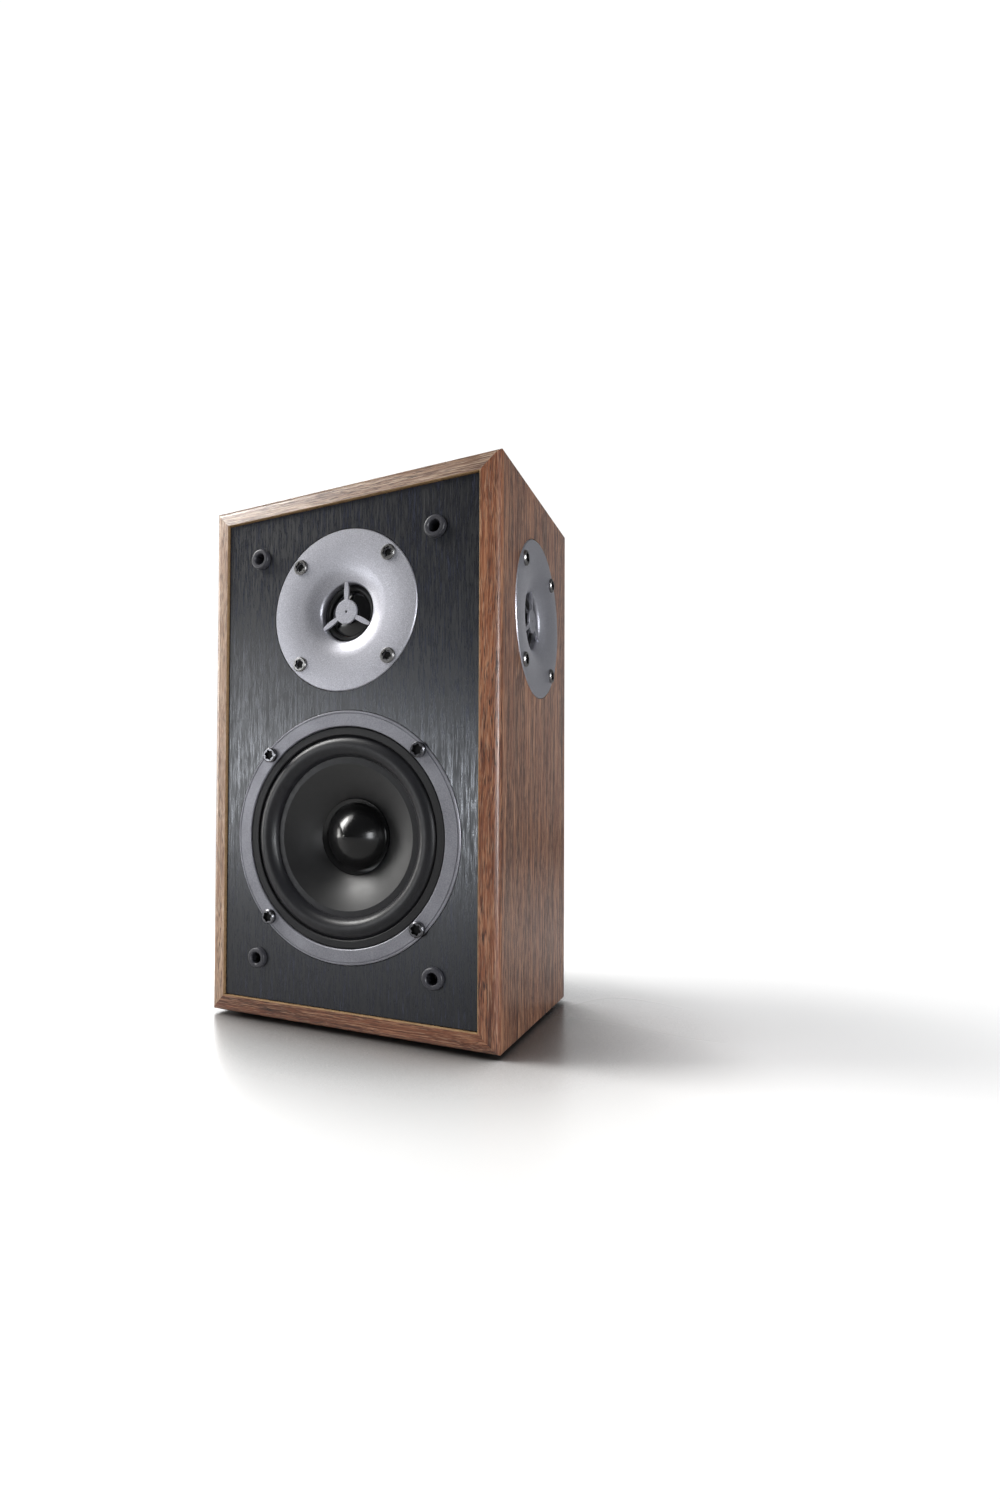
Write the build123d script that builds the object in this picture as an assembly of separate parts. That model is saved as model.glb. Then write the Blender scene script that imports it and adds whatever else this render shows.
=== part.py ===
from build123d import *
import math
import os

os.makedirs("parts", exist_ok=True)

# ---------------------------------------------------------------------------
# Two-way bookshelf loudspeaker with one front tweeter and a tweeter on each
# flank. All lengths in millimetres. The cabinet is first described with its
# front frame plane at Y 0, its underside at Z 0 and its middle at X 0, and
# every piece is moved at the end so that the origin is the middle of the
# overall box at the underside of the feet. The front looks along -Y.
# ---------------------------------------------------------------------------

# cabinet
W = 178.4          # width
D = 137.4          # depth of the wooden case
H = 300.0          # height of the wooden case, without the feet
T = 15.0           # panel thickness
LIP = 10.6         # visible front frame width
RECESS = 1.8       # baffle face behind the frame plane
BAFFLE_T = 15.0
BEVEL = 12.0       # slope of the front frame face, degrees
EDGE_Y = 6.0       # depth at which the rounded front edge meets the side
GAP = 0.25         # shadow gap round the baffle
FOOT_H = 2.0
FOOT_R = 8.0

# tweeter, heights measured outward from the panel face
TW_Z = 229.6
TW_SIDE_Y = 71.0
TW_R = 44.5
TW_RIM = 0.4
TW_SCREW_R = 38.9
TW_THROAT = 16.1
TW_REBATE = 4.2
TW_GASKET = 0.8
DOME_R = 12.5

# woofer, depths measured inward from the frame plane
WF_Z = 105.1
WF_R = 69.25
WF_SCREW_R = 65.3
COIL_R = 13.0

# grille sockets
SOCK_X = 54.7
SOCK_Z = (34.6, 265.7)
SOCK_BORE = 3.2

# back
PORT_Z = 229.6
PORT_R = 17.0
CUP_Z = 62.0
POST_X = 19.05 / 2     # two posts on the usual 19.05 mm spacing
POST_BORE = 2.0        # 4 mm plug
STUD_R = 3.0
FIT = 0.05             # running clearance of the post threads

Y_FRONT = RECESS - 3.87       # outer faces of the woofer screw heads
Y_BACK = D + 2.0              # outer face of the port and terminal flanges
SHIFT = Location((0, -(Y_FRONT + Y_BACK) / 2, FOOT_H))

nodes = {}


def keep(name, *solids):
    nodes[name] = list(solids)


# --- helpers ---------------------------------------------------------------

def ring(points):
    """Turn a closed polygon of (radius, height) about local Z."""
    line = Polyline(*[(r, 0, h) for r, h in points], close=True)
    return revolve(make_face(line), Axis.Z, 360)


def ring_edges(*edges):
    return revolve(make_face(list(edges)), Axis.Z, 360)


def seg(a, b):
    return Line((a[0], 0, a[1]), (b[0], 0, b[1]))


def arc(a, m, b):
    return ThreePointArc((a[0], 0, a[1]), (m[0], 0, m[1]), (b[0], 0, b[1]))


def flare(start, a0, a1, dr):
    """Arc that moves inward by dr while its slope grows from a0 to a1."""
    s0, s1 = math.radians(a0), math.radians(a1)
    rad = dr / (math.sin(s1) - math.sin(s0))
    sm = (s0 + s1) / 2

    def at(s):
        return (start[0] - rad * (math.sin(s) - math.sin(s0)),
                start[1] - rad * (math.cos(s0) - math.cos(s)))
    return at(sm), at(s1)


def tube(r_out, r_in, h0, h1):
    return ring([(r_in, h0), (r_out, h0), (r_out, h1), (r_in, h1)])


def rod(r, h0, h1):
    return Pos(0, 0, (h0 + h1) / 2) * Cylinder(r, h1 - h0)


def block(x0, x1, y0, y1, z0, z1):
    return Pos((x0 + x1) / 2, (y0 + y1) / 2, (z0 + z1) / 2) * Box(x1 - x0, y1 - y0, z1 - z0)


def star(r, h0, h1):
    """Six-lobed driver recess."""
    sk = Circle(r * 0.80)
    for k in range(6):
        a = math.radians(60 * k + 30)
        sk += Pos(r * 0.72 * math.cos(a), r * 0.72 * math.sin(a)) * Circle(r * 0.28)
    return extrude(Pos(0, 0, h0) * sk, h1 - h0)


def around(shape, radius, angles):
    return [Pos(radius * math.cos(math.radians(a)), radius * math.sin(math.radians(a)), 0)
            * (Rot(0, 0, a) * shape) for a in angles]


FRONT = Plane(origin=(0, RECESS, TW_Z), x_dir=(1, 0, 0), z_dir=(0, -1, 0)).location
RIGHT = Plane(origin=(W / 2, TW_SIDE_Y, TW_Z), x_dir=(0, 1, 0), z_dir=(1, 0, 0)).location
LEFT = Plane(origin=(-W / 2, TW_SIDE_Y, TW_Z), x_dir=(0, -1, 0), z_dir=(-1, 0, 0)).location
# woofer: local height is minus the depth behind the frame plane
WOOF = Plane(origin=(0, 0, WF_Z), x_dir=(1, 0, 0), z_dir=(0, -1, 0)).location
PORT = Plane(origin=(0, D, PORT_Z), x_dir=(-1, 0, 0), z_dir=(0, 1, 0)).location
CUP = Plane(origin=(0, D, CUP_Z), x_dir=(-1, 0, 0), z_dir=(0, 1, 0)).location

# --- case panels -----------------------------------------------------------
# One section serves all four: s runs in from the outer face, y to the back.
tb = math.tan(math.radians(BEVEL))
nx, ny = math.sin(math.radians(BEVEL)), math.cos(math.radians(BEVEL))
EDGE_RAD = (EDGE_Y - LIP * tb) / (ny - (1 - nx) * tb)
p_arc = (EDGE_RAD * (1 - nx), EDGE_Y - ny * EDGE_RAD)
am = math.radians((90 - BEVEL) / 2)
p_mid = (EDGE_RAD - EDGE_RAD * math.cos(am), EDGE_Y - EDGE_RAD * math.sin(am))
REBATE_Y = RECESS + BAFFLE_T


def section(place):
    """place maps (s, y) to a point; gives the panel's face."""
    pts = [(LIP, 0.3), (LIP - 0.35, 0.35 * tb)]
    e = [Line(place(*pts[0]), place(*pts[1])),
         Line(place(*pts[1]), place(*p_arc)),
         ThreePointArc(place(*p_arc), place(*p_mid), place(0, EDGE_Y)),
         Line(place(0, EDGE_Y), place(0, D - 0.8)),
         Line(place(0, D - 0.8), place(0.8, D)),
         Line(place(0.8, D), place(T, D)),
         Line(place(T, D), place(T, REBATE_Y)),
         Line(place(T, REBATE_Y), place(LIP, REBATE_Y)),
         Line(place(LIP, REBATE_Y), place(*pts[0]))]
    return make_face(e)


def prism_xz(points):
    """Prism along Y of a polygon in X and Z."""
    face = make_face(Polyline(*[(x, -10, z) for x, z in points], close=True))
    return extrude(face, D + 20, dir=(0, 1, 0))


rounded = extrude(Plane(origin=(0, -10, H / 2), x_dir=(1, 0, 0), z_dir=(0, 1, 0)).location
                  * RectangleRounded(W, H, 1.0), D + 20)

right = extrude(section(lambda s, y: (W / 2 - s, y, 0)), H, dir=(0, 0, 1))
right = right & prism_xz([(W / 2 + 1, -1), (W / 2 + 1, H + 1), (W / 2 - 16, H - 16), (W / 2 - 16, 16)]) & rounded
left = extrude(section(lambda s, y: (-W / 2 + s, y, 0)), H, dir=(0, 0, 1))
left = left & prism_xz([(-W / 2 - 1, -1), (-W / 2 - 1, H + 1), (-W / 2 + 16, H - 16), (-W / 2 + 16, 16)]) & rounded
top = extrude(section(lambda s, y: (-W / 2, y, H - s)), W, dir=(1, 0, 0))
top = top & prism_xz([(-W / 2 - 1, H + 1), (W / 2 + 1, H + 1), (W / 2 - 16, H - 16), (-W / 2 + 16, H - 16)]) & rounded
bottom = extrude(section(lambda s, y: (-W / 2, y, s)), W, dir=(1, 0, 0))
bottom = bottom & prism_xz([(-W / 2 - 1, -1), (W / 2 + 1, -1), (W / 2 - 16, 16), (-W / 2 + 16, 16)]) & rounded

# hole for one tweeter: rebate, motor hole and four pilot holes
TW_ANGLES = (45, 135, 225, 315)
TW_PILOT = 1.77
tw_cut = rod(TW_R + 0.35, -TW_REBATE, 5) + rod(35.0, -40, 5)
for s in around(rod(TW_PILOT, -14.0, 5), TW_SCREW_R, TW_ANGLES):
    tw_cut += s

right -= RIGHT * tw_cut
left -= LEFT * tw_cut

baffle = block(-W / 2 + LIP + GAP, W / 2 - LIP - GAP, RECESS, REBATE_Y, LIP + GAP, H - LIP - GAP)
baffle = chamfer(baffle.edges().group_by(Axis.Y)[0], 0.3)
baffle -= FRONT * tw_cut

# woofer seat
WF_SEAT = 7.0
wf_cut = rod(WF_R + 0.4, -WF_SEAT, 5) + rod(59.0, -30, 5)
for s in around(rod(2.02, -16.0, 5), WF_SCREW_R, TW_ANGLES):
    wf_cut += s
baffle -= WOOF * wf_cut

# grille sockets: flanged, closed at the back, with four relief slots; the baffle's holes for them go through
sock = ring_edges(seg((0, -11.2), (4.4, -11.2)), seg((4.4, -11.2), (4.4, 0)), seg((4.4, 0), (5.8, 0)),
                  seg((5.8, 0), (5.8, 1.9)), arc((5.8, 1.9), (5.48, 2.68), (4.7, 3.0)),
                  seg((4.7, 3.0), (3.6, 3.0)), seg((3.6, 3.0), (SOCK_BORE, 2.5)),
                  seg((SOCK_BORE, 2.5), (SOCK_BORE, -8.5)), seg((SOCK_BORE, -8.5), (0, -9.6)),
                  seg((0, -9.6), (0, -11.2)))
for k in range(4):
    sock -= Rot(0, 0, 45 + 90 * k) * block(0, SOCK_BORE + 0.55, -0.4, 0.4, -8.4, 0.6)
sockets = []
for x in (-SOCK_X, SOCK_X):
    for z in SOCK_Z:
        at = Plane(origin=(x, RECESS, z), x_dir=(1, 0, 0), z_dir=(0, -1, 0)).location
        sockets.append(at * sock)
        baffle -= at * rod(4.4, -BAFFLE_T - 1, 5)

# back panel, inset between the case panels
back = block(-W / 2 + T, W / 2 - T, D - T, D, T, H - T)
back -= PORT * rod(24.0, -T - 1, 5)
cup_hole = extrude(Pos(0, 0, -T - 1) * RectangleRounded(64.8, 44.8, 7.2), T + 5)
CUP_SCREWS = [(sx * 35.0, sz * 25.0) for sx in (-1, 1) for sz in (-1, 1)]
back -= CUP * cup_hole
for x, z in CUP_SCREWS:
    back -= CUP * (Pos(x, z, 0) * rod(1.42, -13.6, 5))

foot = ring([(0, -FOOT_H), (FOOT_R - 0.6, -FOOT_H), (FOOT_R, -FOOT_H + 0.6), (FOOT_R, 0), (0, 0)])
feet = [Pos(x, y, 0) * foot for x in (-72.0, 72.0) for y in (20.0, D - 17.0)]

# holes for the crossover's standoff screws in the bottom panel
BOARD = (-55.0, 55.0, 43.0, 109.0)
BOARD_Z = T + 6.0
ST = [(x, y) for x in (BOARD[0] + 5, BOARD[1] - 5) for y in (BOARD[2] + 5, BOARD[3] - 5)]
for x, y in ST:
    bottom -= Pos(x, y, 0) * rod(1.42, T - 9.0, T + 1)

keep("top_panel", top)
keep("bottom_panel", bottom)
keep("left_panel", left)
keep("right_panel", right)
keep("front_baffle", baffle)
keep("back_panel", back)
keep("rubber_feet", *feet)
keep("grille_sockets", *sockets)

# --- reflex port -----------------------------------------------------------
port = ring_edges(
    seg((PORT_R, -66), (19.0, -66)), seg((19.0, -66), (19.0, -19.0)), seg((19.0, -19.0), (23.7, -14.5)),
    seg((23.7, -14.5), (23.7, 0)), seg((23.7, 0), (28.0, 0)), seg((28.0, 0), (28.0, 1.3)),
    seg((28.0, 1.3), (27.2, 2.0)), seg((27.2, 2.0), (24.0, 2.0)),
    arc((24.0, 2.0), (24.0 - 7 * math.sin(math.radians(45)), 2.0 - 7 * (1 - math.cos(math.radians(45)))), (17.0, -5.0)),
    seg((PORT_R, -5.0), (PORT_R, -66)))
keep("reflex_port_tube", PORT * port)

# --- damping pad on the back wall ------------------------------------------
pad = block(-58, 58, 108.4, D - T, 98, 192)
pad = fillet(pad.edges().filter_by(Axis.Y), 8)
keep("damping_wadding", pad)

# --- woofer ----------------------------------------------------------------
def wring(points):
    return ring([(r, -d) for r, d in points])


def wseg(a, b):
    return seg((a[0], -a[1]), (b[0], -b[1]))


def warc(a, m, b):
    return arc((a[0], -a[1]), (m[0], -m[1]), (b[0], -b[1]))


FL0, FL1 = 4.6, 6.2           # basket flange, front and back
TRIM_Y = 1.0                  # face of the trim ring
trim = wring([(60.8, FL0), (60.8, 1.35), (61.15, TRIM_Y), (67.5, TRIM_Y), (67.7, 1.4), (68.0, 1.4), (68.2, TRIM_Y),
              (68.8, TRIM_Y), (WF_R, 1.5), (WF_R, FL0)])
for s in around(rod(2.4, -20, 5), WF_SCREW_R, TW_ANGLES):
    trim -= s
clamp = wring([(56.0, 3.8), (56.0, 2.3), (56.4, 1.9), (59.8, 1.9), (60.2, 2.2), (60.2, 3.8)])

basket = wring([(67.5, FL0), (67.5, FL1), (58.4, FL1), (56.4, 16.8), (42.5, 32.6), (36.6, 32.6), (36.6, 45.0),
                (17.0, 45.0), (17.0, 43.4), (35.0, 43.4), (35.0, 31.0), (41.7, 31.0), (54.8, 16.0), (56.2, FL0)])
for k in range(6):
    win = make_face(Polyline((38, 0, -11.0), (70, 0, -11.0), (70, 0, -29.0), (38, 0, -29.0), close=True))
    basket -= Rot(0, 0, 60 * k + 11) * revolve(win, Axis.Z, 38)
for s in around(rod(2.4, -20, 5), WF_SCREW_R, TW_ANGLES):
    basket -= s

gasket = wring([(59.6, FL1), (67.0, FL1), (67.0, WF_SEAT), (59.6, WF_SEAT)])
for s in around(rod(2.4, -20, 5), WF_SCREW_R, TW_ANGLES):
    gasket -= s

# half-roll surround: outer flange under the clamp ring, inner flange behind the cone rim
SU_T = 0.7
surround = ring_edges(
    wseg((60.0, 3.85), (60.0, FL0)), wseg((60.0, FL0), (55.3, FL0)),
    warc((55.3, FL0), (50.0, 1.0 + SU_T), (44.9, 6.6)),
    wseg((44.9, 6.6), (44.9, 7.75)), wseg((44.9, 7.75), (41.2, 7.75)), wseg((41.2, 7.75), (41.2, 7.05)),
    wseg((41.2, 7.05), (44.35, 7.05)), wseg((44.35, 7.05), (44.35, 6.2)),
    warc((44.35, 6.2), (50.0, 1.0), (55.6, 3.85)),
    wseg((55.6, 3.85), (60.0, 3.85)))

CONE_T = 0.8
N0 = (13.1, 24.2)
cone = ring_edges(
    wseg((44.25, 6.2), (40.7, 6.2)), warc((40.7, 6.2), (31.0, 11.3), (21.4, 18.0)), wseg((21.4, 18.0), N0),
    wseg(N0, (13.1, 25.2)), wseg((13.1, 25.2), (21.4, 18.0 + CONE_T)),
    warc((21.4, 18.0 + CONE_T), (31.0, 11.3 + CONE_T), (40.7, 6.2 + CONE_T)),
    wseg((40.7, 6.2 + CONE_T), (44.25, 6.2 + CONE_T)), wseg((44.25, 6.2 + CONE_T), (44.25, 6.2)))

slope = (24.2 - 18.0) / (21.4 - 13.1)


def tip_mid(d):
    # middle of the small round at the cap's point, 1.2 wide and 0.55 deep
    rad = (1.2 ** 2 + 0.55 ** 2) / 1.1
    half = math.asin(1.2 / rad) / 2
    return (rad * math.sin(half), d + rad * (1 - math.cos(half)))


c192 = 18.0 + slope * 2.2
cap = ring_edges(
    wseg((21.4, 18.0), (21.4, 17.2)), wseg((21.4, 17.2), (19.2, 18.2)),
    warc((19.2, 18.2), (11.0, 10.0), (1.2, 4.75)), warc((1.2, 4.75), tip_mid(4.2), (0.0, 4.2)),
    wseg((0.0, 4.2), (0.0, 5.2)), warc((0.0, 5.2), tip_mid(5.2), (1.2, 5.75)),
    warc((1.2, 5.75), (10.3, 10.8), (18.3, 18.9)), wseg((18.3, 18.9), (18.9, c192 - 0.1)),
    wseg((18.9, c192 - 0.1), (19.2, c192)), wseg((19.2, c192), (21.4, 18.0)))

former = wring([(12.75, 23.0), (13.0, 23.0), (13.0, 54.0), (12.75, 54.0)])
w_coil = wring([(13.02, 41.5), (13.7, 41.5), (13.7, 53.5), (13.02, 53.5)])

# corrugated spider
sp = [(13.1, 30.6)]
r0 = 15.0
k = 0
while r0 < 34.0:
    sp.append((r0, 30.6 + (1.1 if k % 2 else -1.1)))
    r0 += 2.1
    k += 1
sp.append((34.6, 30.6))
sp_top = [(r, d - 0.25) for r, d in sp] + [(41.0, 30.4)]
sp_bot = [(41.0, 30.95), (34.6, 30.95)] + [(r, d + 0.3) for r, d in reversed(sp[:-1])]
spider = wring(sp_top + sp_bot)

plate = wring([(14.25, 45.0), (37.0, 45.0), (37.0, 50.0), (14.25, 50.0)])
magnet = wring([(20.0, 50.0), (39.4, 50.0), (40.0, 50.6), (40.0, 64.4), (39.4, 65.0), (20.0, 65.0)])
yoke = wring([(4.0, 44.6), (11.7, 44.6), (12.3, 45.2), (12.3, 65.0), (37.0, 65.0), (37.0, 69.0), (36.0, 70.0),
              (7.0, 70.0), (4.0, 67.0)])

# tag strip under the basket: local -Y is down
strip = block(-8, 8, -38.6, -36.55, -42.0, -35.0) - rod(36.65, -43, -34)
tabs = [block(x - 2.4, x + 2.4, -46.0, -38.6, -38.9, -38.1) - Pos(x, -44.0, 0) * rod(0.8, -40, -37)
        for x in (-4.5, 4.5)]
strip_and_tabs = [strip] + tabs

w_screw = ring([(0, -15.5), (1.2, -15.5), (2.0, -13.5), (2.0, -TRIM_Y), (4.15, -TRIM_Y), (4.15, 1.4), (3.5, 2.07), (0, 2.07)])
w_screw -= star(3.0, 0.4, 3.0)
w_screws = around(w_screw, WF_SCREW_R, TW_ANGLES)

for name, shapes in (("woofer_trim_ring", [trim]), ("woofer_surround_clamp", [clamp]), ("woofer_basket", [basket]),
                     ("woofer_gasket", [gasket]), ("woofer_surround", [surround]), ("woofer_cone", [cone]),
                     ("woofer_dust_cap", [cap]), ("woofer_coil_former", [former]), ("woofer_voice_coil", [w_coil]),
                     ("woofer_spider", [spider]), ("woofer_top_plate", [plate]), ("woofer_magnet", [magnet]),
                     ("woofer_yoke", [yoke]), ("woofer_terminals", strip_and_tabs), ("woofer_screws", w_screws)):
    keep(name, *[WOOF * s for s in shapes])

# --- tweeter ---------------------------------------------------------------
BOSS_H = -8.9
TP0, TP1 = -9.2, -13.2
MG1 = -22.2
YK1 = -26.2
RIM_IN = 41.0
BACK_H = -TW_REBATE + TW_GASKET

m1, e1 = flare((RIM_IN, TW_RIM), 0, 7, 15.0)
m2, e2 = flare(e1, 7, 30, 8.8)
m3, e3 = flare(e2, 30, 90, e2[0] - TW_THROAT)
face_plate = ring_edges(
    seg((RIM_IN, TW_RIM), (TW_R - 0.5, TW_RIM)), seg((TW_R - 0.5, TW_RIM), (TW_R, TW_RIM - 0.5)),
    seg((TW_R, TW_RIM - 0.5), (TW_R, BACK_H)), seg((TW_R, BACK_H), (30.0, BACK_H)), seg((30.0, BACK_H), (30.0, BOSS_H)),
    seg((30.0, BOSS_H), (TW_THROAT, BOSS_H)), seg((TW_THROAT, BOSS_H), e3), arc(e3, m3, e2), arc(e2, m2, e1),
    arc(e1, m1, (RIM_IN, TW_RIM)))
HUB_R, HUB_T, HUB_B = 6.8, -3.1, -4.7
hub = ring([(0.7, HUB_B), (HUB_R - 0.3, HUB_B), (HUB_R, HUB_B + 0.3), (HUB_R, HUB_T - 0.35), (HUB_R - 0.5, HUB_T), (0.7, HUB_T)])
leaf = make_face([ThreePointArc((5.6, -0.9), (11.4, -1.4), (16.6, -0.8)), Line((16.6, -0.8), (16.6, 0.8)),
                  ThreePointArc((16.6, 0.8), (11.4, 1.4), (5.6, 0.9)), Line((5.6, 0.9), (5.6, -0.9))])
leaf = extrude(Pos(0, 0, HUB_B) * leaf, 1.4)
for a in (90, 210, 330):
    hub += Rot(0, 0, a) * leaf
face_plate += hub
for s in around(rod(2.1, -20, 5), TW_SCREW_R, TW_ANGLES):
    face_plate -= s

# membrane: dome with its coil former, and the roll surround
DOME_H0, DOME_H1 = -8.7, -5.6
dome_rad = (DOME_R ** 2 + (DOME_H1 - DOME_H0) ** 2) / (2 * (DOME_H1 - DOME_H0))


def dome_arc(r_edge, top, base):
    rise = top - base
    rad = (r_edge ** 2 + rise ** 2) / (2 * rise)
    half = math.asin(r_edge / rad) / 2
    return (rad * math.sin(half), top - rad * (1 - math.cos(half)))


dm = dome_arc(DOME_R, DOME_H1, DOME_H0)
dn = dome_arc(DOME_R - 0.25, DOME_H1 - 0.3, DOME_H0 - 0.25)
dome = ring_edges(
    arc((0, DOME_H1), dm, (DOME_R, DOME_H0)), seg((DOME_R, DOME_H0), (DOME_R, -13.4)),
    seg((DOME_R, -13.4), (DOME_R - 0.25, -13.4)), seg((DOME_R - 0.25, -13.4), (DOME_R - 0.25, DOME_H0 - 0.25)),
    arc((DOME_R - 0.25, DOME_H0 - 0.25), dn, (0, DOME_H1 - 0.3)), seg((0, DOME_H1 - 0.3), (0, DOME_H1)))
t_coil = tube(13.2, DOME_R + 0.02, -12.9, -9.8)
t_surround = ring_edges(
    seg((20.0, BOSS_H), (15.9, BOSS_H)), arc((15.9, BOSS_H), (14.25, -7.3), (12.6, BOSS_H)),
    seg((12.6, BOSS_H), (12.6, TP0)), seg((12.6, TP0), (12.9, TP0)),
    arc((12.9, TP0), (14.25, -7.7), (15.6, TP0)), seg((15.6, TP0), (20.0, TP0)), seg((20.0, TP0), (20.0, BOSS_H)))
t_plate = tube(30.0, 13.9, TP1, TP0)
t_magnet = ring([(16.0, MG1), (29.5, MG1), (30.0, MG1 + 0.5), (30.0, TP1 - 0.5), (29.5, TP1), (16.0, TP1)])
t_yoke = ring([(0, -9.5), (11.4, -9.5), (11.9, -10.0), (11.9, MG1), (29.0, MG1), (29.0, YK1 + 0.8), (28.2, YK1), (0, YK1)])
t_gasket = tube(44.0, 35.5, -TW_REBATE, BACK_H)
for s in around(rod(2.1, -20, 5), TW_SCREW_R, TW_ANGLES):
    t_gasket -= s
t_screw = ring([(0, -13.6), (1.0, -13.6), (1.75, -12.0), (1.75, TW_RIM), (4.2, TW_RIM), (4.2, 1.1), (3.6, 1.7), (0, 1.7)])
t_screw -= star(2.9, 0.2, 3.0)
t_screws = around(t_screw, TW_SCREW_R, TW_ANGLES)

SIDES = (("front", FRONT), ("left", LEFT), ("right", RIGHT))
for side, at in SIDES:
    keep(side + "_tweeter_faceplate", at * face_plate)
    keep(side + "_tweeter_surround", at * t_surround)
    keep(side + "_tweeter_dome", at * dome)
    keep(side + "_tweeter_voice_coil", at * t_coil)
    keep(side + "_tweeter_magnet", at * t_magnet)
keep("tweeter_top_plates", *[at * t_plate for _, at in SIDES])
keep("tweeter_yokes", *[at * t_yoke for _, at in SIDES])
keep("tweeter_gaskets", *[at * t_gasket for _, at in SIDES])
keep("tweeter_screws", *[at * s for _, at in SIDES for s in t_screws])

# --- terminal cup ----------------------------------------------------------
FLOOR, FLOOR_B, BOSS = -20.0, -23.0, -18.0
cup = extrude(RectangleRounded(78, 58, 6), 2.0)
cup = chamfer(cup.edges().group_by(Axis.Z)[-1], 0.6)
cup += extrude(Pos(0, 0, FLOOR_B) * RectangleRounded(64, 44, 7), -FLOOR_B)
cup -= extrude(Pos(0, 0, FLOOR) * RectangleRounded(60, 40, 5), -FLOOR + 5)
for x in (-POST_X, POST_X):
    cup += Pos(x, 0, 0) * rod(7.4, FLOOR - 1, BOSS)
    cup -= Pos(x, 0, 0) * rod(STUD_R + 0.02, FLOOR_B - 1, BOSS + 1)
for x, z in CUP_SCREWS:
    cup -= Pos(x, z, 0) * rod(1.7, -5, 5)
keep("terminal_cup", CUP * cup)
c_screw = ring([(0, -11.5), (0.8, -11.5), (1.4, -10.0), (1.4, 2.0), (3.0, 2.0), (3.0, 2.0 + 1.0), (2.2, 2.0 + 1.7), (0, 2.0 + 1.7)])
# heads sit in the flange, flush with its face
c_screw = Pos(0, 0, -1.7) * c_screw
cup_now = nodes["terminal_cup"][0]
for x, z in CUP_SCREWS:
    cup_now -= CUP * (Pos(x, z, 0) * rod(3.1, 0.3, 5))
nodes["terminal_cup"] = [cup_now]
c_screw -= Pos(0, 0, 1.6) * (Box(3.2, 0.8, 1.4) + Box(0.8, 3.2, 1.4))
keep("terminal_cup_screws", *[CUP * (Pos(x, z, 0) * c_screw) for x, z in CUP_SCREWS])

# binding posts
STUD_END, STUD_IN = 0.5, -33.0
stud = rod(STUD_R, STUD_IN, STUD_END) - rod(POST_BORE, STUD_END - 15.0, STUD_END + 1)
stud -= Pos(0, 0, -16.6) * (Rot(0, 90, 0) * Cylinder(1.2, 10))
keep("post_studs", *[CUP * (Pos(x, 0, 0) * stud) for x in (-POST_X, POST_X)])
nut_face = RegularPolygon(5.77, 6)
nut = extrude(Pos(0, 0, FLOOR_B - 4.2) * nut_face, 3.4) + rod(6.4, FLOOR_B - 0.8, FLOOR_B)
nut -= rod(STUD_R + 0.02, FLOOR_B - 6, FLOOR_B + 1)
keep("post_nuts", *[CUP * (Pos(x, 0, 0) * nut) for x in (-POST_X, POST_X)])
washer = tube(6.2, STUD_R + FIT, BOSS + 0.05, BOSS + 1.25)
KN0, KN1 = BOSS + 1.3, 1.5
knob = ring([(STUD_R + FIT, KN0), (6.0, KN0), (6.2, KN0 + 0.3), (6.2, KN0 + 2.5), (6.7, KN0 + 3.3), (6.7, KN1 - 1.2),
             (5.8, KN1), (4.2, KN1), (STUD_R + FIT, KN1 - 1.0)])
for k in range(14):
    a = math.radians(k * 360 / 14)
    knob -= Pos(7.35 * math.cos(a), 7.35 * math.sin(a), 0) * rod(1.05, KN0 + 3.4, KN1 + 2)
for name, x in (("red", POST_X), ("black", -POST_X)):
    keep(name + "_post_washer", CUP * (Pos(x, 0, 0) * washer))
    keep(name + "_post_knob", CUP * (Pos(x, 0, 0) * knob))

# --- crossover -------------------------------------------------------------
board = block(BOARD[0], BOARD[1], BOARD[2], BOARD[3], BOARD_Z, BOARD_Z + 1.6)
for x, y in ST:
    board -= Pos(x, y, 0) * rod(1.7, BOARD_Z - 1, BOARD_Z + 3)
keep("crossover_board", board)
BT = BOARD_Z + 1.6
keep("crossover_standoffs", *[Pos(x, y, 0) * tube(3.2, 1.6, T, BOARD_Z) for x, y in ST])
b_screw = ring([(0, T - 8.0), (0.7, T - 8.0), (1.4, T - 6.5), (1.4, BT), (3.0, BT), (3.0, BT + 1.0), (2.2, BT + 1.7), (0, BT + 1.7)])
keep("crossover_screws", *[Pos(x, y, 0) * b_screw for x, y in ST])


def lying(x0, x1, y, r, z0=BT):
    return Pos((x0 + x1) / 2, y, z0 + r) * (Rot(0, 90, 0) * Cylinder(r, x1 - x0))


keep("crossover_capacitors", lying(-48, -14, 92, 7.5), lying(-8, 20, 96, 6.0), lying(-8, 20, 80, 6.0))
spool = ring([(7.0, 0), (16.0, 0), (16.0, 1.5), (14.5, 1.5), (14.5, 13.0), (16.0, 13.0), (16.0, 14.5), (7.0, 14.5)])
keep("crossover_coils", Pos(-32, 64, BT) * spool, Pos(32, 64, BT) * spool, Pos(37, 93, BT) * tube(9.0, 3.5, 0, 12.0))
keep("crossover_resistors", block(-13, 13, 50, 57, BT, BT + 7), block(-13, 13, 62, 69, BT, BT + 7))

# --- internal wiring -------------------------------------------------------
WIRE_R = 1.5


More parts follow.
